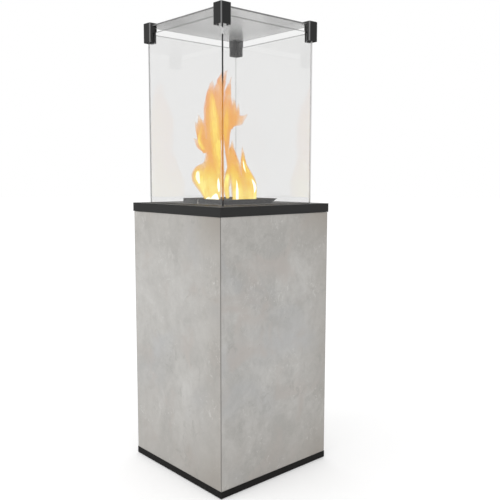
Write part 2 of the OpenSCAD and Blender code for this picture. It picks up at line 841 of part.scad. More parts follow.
module gas_valve() {
    valve_y1 = valve_y0 + valve_l;
    color("#a98a52") difference() {
        union() {
            block([knob_x - valve_w / 2, valve_y0, valve_z0],
                  [knob_x + valve_w / 2, valve_y1, valve_z0 + valve_w]);
            translate([knob_x, valve_y1, z_control]) rotate([-90, 0, 0])
                cylinder(h = panel_plate_t + nut_t, r = bush_r);
            translate([knob_x, panel_y, z_control]) rotate([-90, 0, 0])
                cylinder(h = nut_t, r = 1.6 * bush_r, $fn = 6);
        }
        translate([knob_x, panel_y + nut_t + cut, z_control]) rotate([90, 0, 0])
            cylinder(h = spindle_bore_l + cut, r = spindle_r + run_gap);
    }
}

module valve_spindle() {
    spindle_y0 = panel_y + nut_t - spindle_bore_l + spindle_push + spindle_air;
    color("#c9cacb") translate([knob_x, spindle_y0, z_control]) rotate([-90, 0, 0])
        cylinder(h = knob_y0 + knob_bore_l - spindle_y0 - run_gap, r = spindle_r);
}

module control_knob() {
    color("#242424") translate([knob_x, knob_y0, z_control]) rotate([-90, 0, 0]) difference() {
        union() {
            cylinder(h = knob_h / 2, r = knob_r);
            cylinder(h = knob_h, r = 0.8 * knob_r);
            translate([-knob_r * 0.15, -knob_r * 0.9, 0]) cube([knob_r * 0.3, knob_r * 1.8, knob_h]);
        }
        translate([0, 0, -cut]) cylinder(h = knob_bore_l + cut, r = spindle_r + run_gap);
    }
}

module igniter_body() {
    color("#242424") difference() {
        union() {
            translate([button_x, panel_y, z_control]) rotate([90, 0, 0])
                cylinder(h = panel_plate_t + igniter_l, r = igniter_r);
            translate([button_x, panel_y, z_control]) rotate([-90, 0, 0])
                cylinder(h = bezel_t, r = 1.3 * igniter_r);
        }
        translate([button_x, panel_y + bezel_t + cut, z_control]) rotate([90, 0, 0])
            cylinder(h = igniter_l / 2, r = button_r + run_gap);
    }
}

module igniter_button() {
    button_l = 20;
    color("#8c1f1a") translate([button_x, panel_y + bezel_t + button_out, z_control]) rotate([90, 0, 0])
        cylinder(h = button_l, r = button_r);
}

// The tilt switch stands on the heat shield, and its lead runs to the valve
module tilt_switch() {
    switch_gap = 5;
    switch_x = control_x1 + switch_gap;
    switch_w = 26;
    lead_y = valve_y0 + valve_l / 3;
    lead_x = (knob_x + 2 * button_x) / 3;
    lead_up = 20;                            // height of the lead over the heat shield
    valve_lead_up = 6;                       // where it enters the valve
    color("#c8b45a") {
        block([switch_x, lead_y - switch_w / 2, z_shield],
              [switch_x + switch_w, lead_y + switch_w / 2, z_shield + tilt_h]);
        rod([[switch_x, lead_y, z_shield + lead_up], [lead_x, lead_y, z_shield + lead_up],
             [lead_x, lead_y, valve_z0 + valve_lead_up],
             [knob_x + valve_w / 2, lead_y, valve_z0 + valve_lead_up]], lead_r);
    }
}

module gas_inlet() {
    color("#b08d4c") translate([inlet_x, inlet_y, 0]) {
        translate([0, 0, z_shield - sheet_t - inlet_l]) cylinder(h = inlet_l, r = inlet_r);
        translate([0, 0, z_shield - sheet_t]) cylinder(h = sheet_t, r = inlet_r + inlet_step);
        translate([0, 0, z_shield]) cylinder(h = inlet_nut_h, r = 1.7 * inlet_r, $fn = 6);
        translate([0, 0, z_shield + inlet_nut_h]) cylinder(h = valve_z0 - z_shield - inlet_nut_h, r = pipe_r);
    }
}

// Door

z_door0 = z_plinth1 + door_end_gap;
z_door1 = z_panel1 - door_end_gap;
z_cup = z_plinth1 + cup_rise;
cup_wall = 1.5;
cup_gap = 2;                                 // from the post to the bore of the cup
cup_x = in_x - post_w - cup_r - cup_gap;
pivot_hold = 25;                             // depth of a pin in the door
catch_h = 40;
catch_w = 18;
catch_in = 2;                                // from the edge of the post to the catch
z_catch = z_cup;

module magnet_catch() {
    catch_x = in_x - post_w + catch_in;
    color("#3c3c3e") block([catch_x, back_y, z_catch - catch_h / 2],
                           [catch_x + catch_w, door_y0 - seat_gap, z_catch + catch_h / 2]);
}

module door_panel() {
    color("#b6b4af") difference() {
        block([-door_x, in_x, z_door0], [door_x, body_w / 2, z_door1]);
        for (z = [z_door0 - cut, z_door1 - pivot_hold])
            translate([pivot_x, pivot_y, z]) cylinder(h = pivot_hold + cut, r = pivot_r + run_gap);
        translate([cup_x, body_w / 2 + cut, z_cup]) rotate([90, 0, 0])
            cylinder(h = panel_t + 2 * cut, r = cup_r + cup_wall + hole_gap);
    }
}

module door_frame() {
    color("#8d8f90") difference() {
        block([-door_x, door_y0, z_door0], [door_x, in_x, z_door1]);
        block([door_bar_w - door_x, door_y0 - cut, z_door0 + door_bar_w],
              [door_x - door_bar_w, in_x + cut, z_door1 - door_bar_w]);
        translate([cup_x, in_x + cut, z_cup]) rotate([90, 0, 0])
            cylinder(h = door_bar_t + 2 * cut, r = cup_r + cup_wall + hole_gap);
    }
}

module door_pivots() {
    color("#c9cacb") translate([pivot_x, pivot_y, 0]) {
        translate([0, 0, z_plinth1 - sheet_t]) cylinder(h = sheet_t + door_end_gap + pivot_hold, r = pivot_r);
        translate([0, 0, z_door1 - pivot_hold])
            cylinder(h = z_plate0 + sheet_t - z_door1 + pivot_hold, r = pivot_r);
    }
}

module finger_cup() {
    color("#2c2c2c") translate([cup_x, body_w / 2, z_cup]) rotate([90, 0, 0]) difference() {
        cylinder(h = cup_depth, r = cup_r + cup_wall);
        translate([0, 0, -cut]) cylinder(h = cup_depth - cup_wall + cut, r = cup_r);
    }
}

// Feet

stud_end = 6;                                // how far a stud reaches over the floor pan

module foot(sx, sy) {
    color("#2c2c2c") translate([sx * foot_xy, sy * foot_xy, 0]) {
        cylinder(h = foot_pad_h, r = foot_r);
        cylinder(h = z_floor + stud_end, r = stud_r);
    }
}

module foot_front_left() {
    foot(-1, -1);
}

module foot_front_right() {
    foot(1, -1);
}

module foot_back_left() {
    foot(-1, 1);
}

module foot_back_right() {
    foot(1, 1);
}

plinth();
floor_pan();
bottle_ring();
corner_post_front_left();
corner_post_front_right();
corner_post_back_left();
corner_post_back_right();
upper_frame();
heat_shield();
front_panel();
left_panel();
right_panel();
frame_bolts();
panel_screws();
plate_screws();
plinth_bolts();
foot_nuts();
top_plate();
deck_plate();
glass_seals();
pane_front();
pane_back();
pane_left();
pane_right();
pane_top();
corner_cover_front_left();
corner_cover_front_right();
corner_cover_back_left();
corner_cover_back_right();
corner_blocks();
glass_pads();
cover_screws();
burner_tray();
burner();
injector();
pilot_housing();
pilot_burner();
spark_electrode();
thermocouple();
ignition_lead();
gas_pipe();
pilot_pipe();
control_panel();
gas_valve();
igniter_body();
tilt_switch();
gas_inlet();
magnet_catch();
door_panel();
door_frame();
door_pivots();
finger_cup();
valve_spindle();
control_knob();
igniter_button();
foot_front_left();
foot_front_right();
foot_back_left();
foot_back_right();
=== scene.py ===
"""Gas patio heater: the looks of the part, in metres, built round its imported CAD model."""

import json
from math import radians

import bmesh
import bpy
import numpy
from mathutils import Matrix, Vector, noise

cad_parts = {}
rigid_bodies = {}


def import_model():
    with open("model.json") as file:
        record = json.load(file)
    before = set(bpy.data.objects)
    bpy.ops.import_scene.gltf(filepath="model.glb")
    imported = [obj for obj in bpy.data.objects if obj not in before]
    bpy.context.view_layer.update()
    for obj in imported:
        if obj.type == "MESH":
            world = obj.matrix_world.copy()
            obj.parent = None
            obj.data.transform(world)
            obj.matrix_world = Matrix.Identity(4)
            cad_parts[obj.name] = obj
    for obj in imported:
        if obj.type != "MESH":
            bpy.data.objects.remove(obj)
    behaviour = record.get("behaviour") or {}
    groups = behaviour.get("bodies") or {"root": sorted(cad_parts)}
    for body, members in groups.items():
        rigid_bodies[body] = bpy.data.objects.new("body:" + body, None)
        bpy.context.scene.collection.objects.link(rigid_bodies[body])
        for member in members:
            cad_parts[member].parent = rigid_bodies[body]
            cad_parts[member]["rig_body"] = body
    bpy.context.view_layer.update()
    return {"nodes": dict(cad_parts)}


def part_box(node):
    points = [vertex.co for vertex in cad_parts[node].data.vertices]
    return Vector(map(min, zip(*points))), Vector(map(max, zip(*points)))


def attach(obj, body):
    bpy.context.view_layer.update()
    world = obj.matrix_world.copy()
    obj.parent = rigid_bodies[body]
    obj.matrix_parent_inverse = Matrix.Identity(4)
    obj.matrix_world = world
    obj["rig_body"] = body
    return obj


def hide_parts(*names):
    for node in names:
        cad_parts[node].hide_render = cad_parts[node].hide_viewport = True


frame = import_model()

# Materials
# A finish is a material with one Principled shader, and a wire is the output of a node in it. Sums and
# products of wires make Math nodes, so what a finish looks like is written as short formulas.


class Wire:
    """A node's output. Sums, products and the like of wires add Math nodes to their finish."""

    def __init__(self, finish, socket):
        self.finish = finish
        self.socket = socket

    def out(self, name):
        """Another output of the same node."""
        return Wire(self.finish, self.socket.node.outputs[name])

    def math(self, operation, a, b):
        """The output of a new Math node."""
        return self.finish.node("Math", {"operation": operation}, {0: a, 1: b})

    def __add__(self, other):
        return self.math("ADD", self, other)

    def __radd__(self, other):
        return self.math("ADD", other, self)

    def __sub__(self, other):
        return self.math("SUBTRACT", self, other)

    def __rsub__(self, other):
        return self.math("SUBTRACT", other, self)

    def __mul__(self, other):
        return self.math("MULTIPLY", self, other)

    def __rmul__(self, other):
        return self.math("MULTIPLY", other, self)

    def __gt__(self, other):
        return self.math("GREATER_THAN", self, other)

    def __abs__(self):
        return self.finish.node("Math", {"operation": "ABSOLUTE"}, {0: self})

    def __or__(self, other):
        return self.math("MAXIMUM", self, other)


class Finish:
    """A material: one Principled shader, with the nodes that vary it."""

    def __init__(self, name, **sockets):
        self.material = bpy.data.materials.new(name)
        self.material.use_nodes = True
        self.tree = self.material.node_tree
        self.shader = self.tree.nodes["Principled BSDF"]
        for socket, value in sockets.items():
            self.shader.inputs[socket.replace("_", " ")].default_value = value

    def node(self, kind, settings, inputs, out=0):
        """A new node, set up and linked; gives one of its outputs."""
        node = self.tree.nodes.new("ShaderNode" + kind)
        for key, value in settings.items():
            if key == "stops":
                for i, (position, colour) in enumerate(value):
                    stop = node.color_ramp.elements[i] if i < 2 else node.color_ramp.elements.new(position)
                    stop.position = position
                    stop.color = (*colour, 1)
            else:
                setattr(node, key, value)
        for key, value in inputs.items():
            if isinstance(value, Wire):
                self.tree.links.new(value.socket, node.inputs[key])
            else:
                node.inputs[key].default_value = value
        return Wire(self, node.outputs[out])

    def place(self, scale=(1, 1, 1), turn=(0, 0, 0), shift=(0, 0, 0)):
        """Object coordinates, stretched, turned and shifted."""
        here = self.node("TexCoord", {}, {}).out("Object")
        return self.node("Mapping", {}, {"Vector": here, "Scale": scale, "Rotation": turn, "Location": shift})

    def along(self, axis):
        """The object coordinate on one axis, in metres."""
        return self.node("SeparateXYZ", {}, {0: self.place()}).out(axis)

    def facing(self, axis):
        """How far the surface faces along one axis, from -1 to 1."""
        normal = self.node("NewGeometry", {}, {}).out("Normal")
        return self.node("SeparateXYZ", {}, {0: normal}).out(axis)

    def ramp(self, share, stops):
        """A colour from a list of stops."""
        return self.node("ValToRGB", {"stops": stops}, {"Fac": share})

    def noise(self, where, scale, detail=3, rough=0.5, distortion=0):
        inputs = {"Vector": where, "Scale": scale, "Detail": detail}
        return self.node("TexNoise", {}, {**inputs, "Roughness": rough, "Distortion": distortion})

    def window(self, value, low, high):
        """0 below low, 1 above high, and smooth between."""
        inputs = {"Value": value, "From Min": low, "From Max": high}
        return self.node("MapRange", {"interpolation_type": "SMOOTHSTEP"}, inputs)

    def tint(self, share, a, b):
        """A colour that goes from a to b as share goes from 0 to 1."""
        a, b = ((*c, 1) if isinstance(c, tuple) else c for c in (a, b))
        return self.node("Mix", {"data_type": "RGBA"}, {0: share, 6: a, 7: b}, out=2)

    def drive(self, socket, wire):
        """Lets a wire set one socket of the shader."""
        self.tree.links.new(wire.socket, self.shader.inputs[socket])

    def bump(self, height, depth, strength=1.0):
        """Fine relief, in the shading only."""
        inputs = {"Height": height, "Distance": depth, "Strength": strength}
        self.drive("Normal", self.node("Bump", {}, inputs))


# Studio
# A pale floor in a white studio, seen from a front corner a little above the middle of the heater.
# One wide lamp stands to the left of the camera, so the front is lighter than the right side.

camera_eye = Vector((1.7882, -1.5076, 1.0265))
camera_turn = radians(48.16)
camera_tilt = radians(6.43)
camera_roll = radians(0.11)
picture_side = 500
focal_pixels = 658.36
shift_pixels = 0.4
sensor_width = 36

camera_data = bpy.data.cameras.new("studio_camera")
camera_data.sensor_width = sensor_width
camera_data.lens = focal_pixels / picture_side * sensor_width
camera_data.shift_x = shift_pixels / picture_side
camera = bpy.data.objects.new("studio_camera", camera_data)
bpy.context.scene.collection.objects.link(camera)
camera.matrix_world = (
    Matrix.Translation(camera_eye)
    @ Matrix.Rotation(camera_turn, 4, "Z")
    @ Matrix.Rotation(radians(90) - camera_tilt, 4, "X")
    @ Matrix.Rotation(camera_roll, 4, "Z")
)
bpy.context.scene.camera = camera
bpy.context.scene.view_settings.view_transform = "Standard"

studio = bpy.data.worlds.new("studio")
studio.use_nodes = True
sky = studio.node_tree.nodes["Background"]
sky.inputs["Color"].default_value = (1, 1, 1, 1)
sky.inputs["Strength"].default_value = 1.0
bpy.context.scene.world = studio

floor_radius = 30
floor_sides = 64
floor_grey = (0.8, 0.8, 0.8, 1)
floor_glow = (0.26, 0.26, 0.26)
floor_mesh = bpy.data.meshes.new("studio_floor")
floor_form = bmesh.new()
bmesh.ops.create_circle(floor_form, cap_ends=True, segments=floor_sides, radius=floor_radius)
floor_form.to_mesh(floor_mesh)
floor_form.free()
floor = bpy.data.objects.new("studio_floor", floor_mesh)
bpy.context.scene.collection.objects.link(floor)
floor_paint = Finish(
    "studio_floor_paint", Base_Color=floor_grey, Roughness=1.0, Specular_IOR_Level=0.0, Emission_Strength=1.0
)
rays = floor_paint.node("LightPath", {}, {})
seen = rays.out("Is Camera Ray") | rays.out("Is Glossy Ray") | rays.out("Is Transmission Ray")
floor_paint.drive("Emission Color", floor_paint.tint(seen, (0, 0, 0), floor_glow))
floor_mesh.materials.append(floor_paint.material)

lamp_width = 3.0
lamp_watts = 38
lamp_place = Vector((-1.6, -4.2, 3.0))
lamp_aim = Vector((0, 0, 0.7))
lamp_data = bpy.data.lights.new("wide_lamp", "AREA")
lamp_data.size = lamp_width
lamp_data.energy = lamp_watts
lamp = bpy.data.objects.new("wide_lamp", lamp_data)
bpy.context.scene.collection.objects.link(lamp)
lamp_turn = (lamp_aim - lamp_place).to_track_quat("-Z", "Y").to_matrix().to_4x4()
lamp.matrix_world = Matrix.Translation(lamp_place) @ lamp_turn

# Shapes
# Each piece is a copy of its CAD node, with its facets merged and its edges rounded, so that they catch the
# light. All lengths are in metres.

merge_reach = 1e-5
flat_angle = radians(1)
sharp_angle = radians(25)
shade_angle = radians(50)
fold_angle = radians(60)
upright_share = 0.9
touch = 0.0001


def round_edges(form, edges, radius, segments):
    """Rounds some of a form's edges."""
    bmesh.ops.bevel(
        form, geom=edges, offset=radius, offset_type="OFFSET", segments=segments, profile=0.5,
        affect="EDGES", material=-1, clamp_overlap=True,
    )


def eased_copy(node, radius, segments=2, shape=None):
    """A copy of a CAD node, its facets merged and its edges rounded, that stands for the node."""
    form = bmesh.new()
    form.from_mesh(frame["nodes"][node].data)
    bmesh.ops.remove_doubles(form, verts=form.verts, dist=merge_reach)
    bmesh.ops.dissolve_limit(form, angle_limit=flat_angle, verts=form.verts, edges=form.edges)
    if shape:
        shape(form)
    sharp = [edge for edge in form.edges if edge.calc_face_angle(0) > sharp_angle]
    round_edges(form, sharp, radius, segments)
    mesh = bpy.data.meshes.new(node + "_dressed")
    form.to_mesh(mesh)
    form.free()
    piece = bpy.data.objects.new(mesh.name, mesh)
    bpy.context.scene.collection.objects.link(piece)
    mesh.shade_smooth()
    mesh.set_sharp_from_angle(angle=shade_angle)
    piece.modifiers.new("even_shading", "WEIGHTED_NORMAL").keep_sharp = True
    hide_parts(node)
    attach(piece, frame["nodes"][node]["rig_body"])
    return piece


def finish_piece(piece, finish):
    """Gives a piece its material."""
    piece.data.materials.clear()
    piece.data.materials.append(finish.material)
    for face in piece.data.polygons:
        face.material_index = 0


# Cladding panels
# Three fixed boards and the door board, of fibre cement with a trowelled, cloudy grey face.
# Their edges are sawn and lightly broken, and they are screwed from inside to the corner posts.


def trowelled_cement(name, rightwards, shift, cloudy, worked, half_width):
    """Light grey cement: clouds, trowel marks, pale flecks, dark scars and pits.

    A brownish painted shade grows towards the right, the top and the foot, and the sawn upright edges are
    darker, partly with a painted shade of the corner gaps. Cloudy and worked say how strong the clouds and
    the trowel marks are.
    """
    cement = Finish(name, Specular_IOR_Level=0.35)
    here = cement.place(shift=shift)
    apart = cement.place(shift=(shift[0] + 3, shift[1] + 5, shift[2] + 2))
    stroke = cement.place(scale=(1, 1, 0.75), turn=(radians(24), radians(-31), 0), shift=shift)
    cloud = cement.noise(here, 3.2, detail=6, rough=0.60, distortion=0.5)
    smear = cement.noise(stroke, 9, detail=5, rough=0.60, distortion=1.2)
    mottle = cement.noise(here, 32, detail=6, rough=0.72, distortion=0.6)
    grain = cement.noise(here, 260, detail=2)
    marks = smear * 0.30 + mottle * 0.28 + grain * 0.06
    tone = 0.5 + cloudy * (cloud - 0.5) + worked * (marks - 0.32)
    greys = [(0.40, (0.420, 0.410, 0.391)), (0.50, (0.490, 0.479, 0.458)), (0.60, (0.550, 0.540, 0.519))]
    body = cement.ramp(tone, greys)
    cool = cement.window(cement.noise(apart, 3.1, detail=3, distortion=0.8), 0.50, 0.74)
    body = cement.tint(cool * 0.55, body, (0.455, 0.462, 0.470))
    rosy = cement.window(cement.noise(apart, 6.3, detail=4, distortion=1.0), 0.52, 0.72)
    body = cement.tint(rosy * 0.75, body, (0.475, 0.440, 0.412))
    along_face = {0: cement.place(), 1: rightwards}
    across = cement.node("VectorMath", {"operation": "DOT_PRODUCT"}, along_face, out="Value")
    height = cement.along("Z")
    side = cement.window(across, 0.0, 0.26)
    high = cement.window(height, 0.66, 0.93) * (0.25 + 0.75 * side)
    low = (1 - cement.window(height, 0.0, 0.36)) * (0.40 + 0.60 * side)
    # Painted shade: each board is painted a brownish darker tone towards its right edge, its top and its
    # foot.
    stain_and_shade = (high | low * 0.85 | side * side * 0.45) * (0.35 + 1.3 * cloud)
    body = cement.tint(stain_and_shade * 0.95, body, (0.335, 0.308, 0.275))
    flecks = cement.window(cement.noise(stroke, 52, detail=4, rough=0.65, distortion=2.0), 0.56, 0.68)
    patch = cement.window(cement.noise(apart, 8, detail=3), 0.50, 0.62)
    body = cement.tint(flecks * patch * 0.45, body, (0.66, 0.655, 0.63))
    scuffed = cement.window(cement.noise(here, 10, detail=3), 0.50, 0.62)
    scars = scuffed * cement.window(cement.noise(stroke, 34, detail=6, rough=0.7, distortion=1.6), 0.50, 0.64)
    body = cement.tint(scars * 0.42, body, (0.33, 0.325, 0.305))
    pit_cells = cement.node("TexVoronoi", {"feature": "F1"}, {"Vector": here, "Scale": 52, "Randomness": 1})
    pitted = cement.window(cement.noise(here, 17, detail=1), 0.58, 0.66)
    pits = (1 - cement.window(pit_cells, 0.03, 0.11)) * pitted
    body = cement.tint(pits * 0.5, body, (0.20, 0.195, 0.185))
    # The sawn upright edges are painted darker, partly a painted shade of the gap at each corner.
    sawn = cement.window(abs(across), half_width - 0.0030, half_width - 0.0008)
    cement.drive("Base Color", cement.tint(sawn * 0.6, body, (0.20, 0.195, 0.18)))
    cement.drive("Roughness", 0.5 + 0.25 * mottle)
    cement.bump(smear * 0.5 + mottle * 0.3 + grain * 0.2 - pits * 0.8 - scars * 0.3, 0.0012, strength=0.35)
    return cement


board_edge = 0.0008
for board, rightwards, shift, cloudy, worked in (
    ("front_panel", (1, 0, 0), (0.0, 0.0, 0.0), 0.50, 0.87),
    ("right_panel", (0, 1, 0), (7.3, 2.1, 4.4), 0.43, 1.27),
    ("left_panel", (0, -1, 0), (-4.2, 6.3, 1.7), 0.45, 1.0),
    ("door_panel", (-1, 0, 0), (3.6, -5.2, 8.1), 0.45, 1.0),
):
    half_width = abs(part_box(board)[1].dot(Vector(rightwards)))
    cement = trowelled_cement("trowelled_cement_" + board, rightwards, shift, cloudy, worked, half_width)
    finish_piece(eased_copy(board, board_edge), cement)

# Powder-coated steel
# The top plate with its folded edge, the deck inside the glass and the corner covers are anthracite;
# the plinth is nearly black. They are folded sheet, coated after folding, so every edge is a little round.


def powder_coat(name, colour, rough):
    """A matt coat with a fine orange-peel grain, and a painted pale sheen on what faces up."""
    coat = Finish(name, Specular_IOR_Level=0.2)
    here = coat.place()
    peel = coat.noise(here, 900, detail=2)
    film = coat.noise(here, 9, detail=3)
    lighter = tuple(c * 1.18 for c in colour)
    # Painted sheen: faces that look up are painted paler, for the sky they reflect.
    dust_and_sheen = coat.window(coat.facing("Z"), 0.7, 1.0) * (0.55 + 0.35 * film)
    coat.drive("Base Color", coat.tint(dust_and_sheen, coat.tint(film, colour, lighter), (0.200, 0.199, 0.196)))
    coat.drive("Roughness", rough + 0.10 * film)
    coat.bump(peel, 0.0003, strength=0.25)
    return coat


fold_edge = 0.0010
deck_edge = 0.0008
anthracite = powder_coat("anthracite_powder_coat", (0.019, 0.019, 0.0185), 0.62)
finish_piece(eased_copy("top_plate", fold_edge, segments=3), anthracite)
finish_piece(eased_copy("deck_plate", deck_edge), anthracite)

black = powder_coat("black_powder_coat", (0.0085, 0.008, 0.0075), 0.6)
black.shader.inputs["Specular IOR Level"].default_value = 0.12
finish_piece(eased_copy("plinth", fold_edge, segments=3), black)

# Corner covers
# Four small folded caps that hold the panes together, in the same anthracite coat, painted paler inside as
# painted light in their shade. Their outer upright folds are rounder than the rest and carry a painted
# highlight.

cover_edge = 0.0004
cover_fold = 0.0030
cover_highlight_inset = 0.0032
highlight_fade = 0.0010
outer_skin = 0.0008
cover_low, cover_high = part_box("corner_cover_front_right")
cover_colour = (0.015, 0.015, 0.015)
cover_coat = powder_coat("cover_coat", cover_colour, 0.50)
cover_x, cover_y = abs(cover_coat.along("X")), abs(cover_coat.along("Y"))
cover_in = cover_coat.node("Math", {"operation": "MINIMUM"}, {0: cover_x, 1: cover_y})
cover_out = cover_x | cover_y
# Painted highlight: a pale band on each outer upright fold stands in for the light the round fold catches.
highlight_from, highlight_to = cover_low.x + cover_highlight_inset, cover_high.x - cover_highlight_inset
at_face = cover_coat.window(cover_out, highlight_to - highlight_fade, highlight_to)
painted_fold_highlight = at_face * ((cover_in > highlight_to) | (1 - (cover_in > highlight_from)))
# Painted light: the covers' shaded insides are painted paler than their outsides.
inside = 1 - (cover_out > cover_high.x - outer_skin)
cover_body = cover_coat.tint(inside, cover_colour, (0.045, 0.045, 0.045))
cover_coat.drive("Base Color", cover_coat.tint(painted_fold_highlight, cover_body, (0.20, 0.20, 0.20)))


def soften_outer_folds(form):
    """Rounds the upright edges in a cover's outer faces."""
    reach = max(max(abs(vert.co.x), abs(vert.co.y)) for vert in form.verts)
    folds = []
    for edge in form.edges:
        here, there = (vert.co for vert in edge.verts)
        upright = abs(here.z - there.z) > upright_share * (here - there).length
        outer = max(abs(here.x), abs(here.y)) > reach - touch
        if upright and outer and edge.calc_face_angle(0) > fold_angle:
            folds.append(edge)
    round_edges(form, folds, cover_fold, 5)


for end in ("front", "back"):
    for side in ("left", "right"):
        cover = eased_copy(f"corner_cover_{end}_{side}", cover_edge, shape=soften_outer_folds)
        finish_piece(cover, cover_coat)

# Glass
# Four side panes of clear toughened glass and a satin top pane, all with ground edges. The side panes
# stand in rubber in the top plate's channel, and the top pane lies on the four corner blocks.

glued_corner = 0.38
pale_reflection_heights = (1.4545, 1.4735)
painted_glow_heights = (0.948, 0.965, 1.28, 1.335)
edge_facing = 0.6
diagonal_share = 0.7071


def pane_glass(name, body, satin, edge_axes, edge_tone, rim=None, paler=None):
    """Glass with opaque, rough ground edges; edge_axes are the edges' normals.

    Above the height rim the glass is painted darker, a painted shade for the dark line beside a ground edge.
    Dark glue fills the near corner, but under the cover it stops for a painted pale reflection. The glued
    edges beside the flames have a painted amber glow. Paler is the tone of a painted reflection that lies in
    bands across a satin pane.
    """
    glass = Finish(name, Transmission_Weight=1.0, IOR=1.5, Emission_Strength=1.0)
    ends = {axis: abs(glass.facing(axis)) > edge_facing for axis in edge_axes}
    edge = ends[edge_axes[0]] | ends[edge_axes[1]]
    haze = glass.window(glass.noise(glass.place(), 5, detail=4), 0.45, 0.8)
    clear = glass.tint(haze * 0.3, body, tuple(c * 0.97 for c in body))
    rightwards, backwards, height = (glass.along(axis) for axis in "XYZ")
    if rim:
        # Painted shade: along its top the glass is painted darker, for the dark line beside its ground edge.
        clear = glass.tint(height > rim, clear, (0.58, 0.585, 0.58))
    if paler:
        # Painted reflection: pale diagonal bands across the satin pane, for the sky it reflects.
        diagonal = (rightwards + backwards) * diagonal_share
        painted_reflection_band = glass.window(diagonal, 0.02, 0.05) * (1 - glass.window(diagonal, 0.11, 0.14))
        clear = glass.tint(glass.window(diagonal, -0.19, -0.08) * 0.5 + painted_reflection_band * 0.5, clear, paler)
    # Painted reflection: in a band just under the cover the glued edge is left pale, for the white band
    # reflected in the glass.
    pale_painted_reflection = (height > pale_reflection_heights[0]) * (1 - (height > pale_reflection_heights[1]))
    glued = ((rightwards - backwards) > glued_corner) * (1 - pale_painted_reflection)
    dark = glued | ends["Z"] if "Z" in ends else glued
    ground = glass.tint(dark, (edge_tone, edge_tone, edge_tone), (0.05, 0.05, 0.05))
    glass.drive("Base Color", glass.tint(edge, clear, ground))
    # Painted light: the glued edges glow amber at the flames' height, an emission standing in for the flames'
    # light.
    low, full, fading, high = painted_glow_heights
    painted_flame_glow = glass.window(height, low, full) * (1 - glass.window(height, fading, high))
    glass.drive("Emission Color", glass.tint(edge * glued * painted_flame_glow, (0, 0, 0), (0.55, 0.20, 0.0)))
    glass.drive("Metallic", edge)
    glass.drive("Roughness", satin + edge * 0.45)
    lamp_ray = glass.node("LightPath", {}, {}).out("Is Shadow Ray")
    through = glass.node("BsdfTransparent", {}, {"Color": (0.93, 0.93, 0.93, 1)})
    mixed = glass.node("MixShader", {}, {0: lamp_ray, 1: Wire(glass, glass.shader.outputs[0]), 2: through})
    glass.tree.links.new(mixed.socket, glass.tree.nodes["Material Output"].inputs["Surface"])
    return glass


pane_edge = 0.0005
pane_body = (0.893, 0.893, 0.890)
pane_edge_tone = 0.62
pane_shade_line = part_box("pane_front")[1].z - 0.0035
for pane, axes in (("pane_front", "XZ"), ("pane_back", "XZ"), ("pane_left", "YZ"), ("pane_right", "YZ")):
    clear_glass = pane_glass("glass_" + pane, pane_body, 0, axes, pane_edge_tone, rim=pane_shade_line)
    finish_piece(eased_copy(pane, pane_edge), clear_glass)
satin_body = (0.37, 0.37, 0.365)
satin_painted_reflection = (0.65, 0.65, 0.645)
satin_rough = 0.22
satin_edge_tone = 0.24
satin_glass = pane_glass("glass_pane_top", satin_body, satin_rough, "XY", satin_edge_tone, paler=satin_painted_reflection)
finish_piece(eased_copy("pane_top", pane_edge), satin_glass)

# Corner blocks, seals and pads
# Black blocks that carry the top pane, and the rubber under and between the glass.


def rubber(name):
    """Matt black rubber with a little dust."""
    skin = Finish(name, Specular_IOR_Level=0.25)
    here = skin.place()
    dust_and_sheen = skin.window(skin.noise(here, 14, detail=5), 0.45, 0.8)
    skin.drive("Base Color", skin.tint(dust_and_sheen * 0.5, (0.014, 0.014, 0.014), (0.045, 0.044, 0.042)))
    skin.drive("Roughness", 0.72 + 0.15 * dust_and_sheen)
    skin.bump(skin.noise(here, 700, detail=2), 0.0003, strength=0.3)
    return skin


block_edge = 0.0005
strip_edge = 0.0002
block_coat = powder_coat("block_anodised", (0.030, 0.030, 0.031), 0.35)
finish_piece(eased_copy("corner_blocks", block_edge), block_coat)
seal_rubber = rubber("seal_rubber")
for strip in ("glass_seals", "glass_pads"):
    finish_piece(eased_copy(strip, strip_edge, segments=1), seal_rubber)

# Burner tray and pilot housing
# Folded sheet in matt grey stove paint, darkened and dusted with soot where the flames pass over the rim.

tray_edge = 0.0005
tray_low, tray_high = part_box("burner_tray")


def stove_paint(name):
    """Matt grey paint, sootier towards the tray's rim."""
    paint = Finish(name, Specular_IOR_Level=0.3)
    here = paint.place()
    soot = paint.window(paint.along("Z"), tray_low.z, tray_high.z)
    smoke = paint.noise(here, 26, detail=5, rough=0.65)
    paint.drive("Base Color", paint.tint(soot * smoke, (0.050, 0.049, 0.047), (0.026, 0.025, 0.024)))
    paint.drive("Roughness", 0.42 + 0.25 * smoke)
    paint.bump(paint.noise(here, 650, detail=2), 0.0003, strength=0.25)
    return paint


tray_paint = stove_paint("stove_paint")
for sheet in ("burner_tray", "pilot_housing"):
    finish_piece(eased_copy(sheet, tray_edge), tray_paint)

# Burner
# A box of stainless sheet with 49 ports, on four feet, over its mixing tube. The top is straw and blue
# from the heat round the ports.


def heated_steel(name, low, high):
    """Stainless steel, brushed, with heat colours between two heights."""
    steel = Finish(name, Metallic=1.0)
    uneven = steel.window(steel.noise(steel.place(), 18, detail=4), 0.3, 0.7)
    heat = steel.window(steel.along("Z"), low, high) * uneven
    brushed = steel.noise(steel.place(scale=(12, 260, 260)), 1.0, detail=2)
    bare, straw, purple, blue = (0.50, 0.49, 0.47), (0.46, 0.38, 0.25), (0.26, 0.19, 0.20), (0.16, 0.19, 0.28)
    steel.drive("Base Color", steel.ramp(heat, [(0.0, bare), (0.45, straw), (0.75, purple), (1.0, blue)]))
    steel.drive("Roughness", 0.28 + 0.22 * brushed)
    steel.bump(brushed, 0.0002, strength=0.2)
    return steel


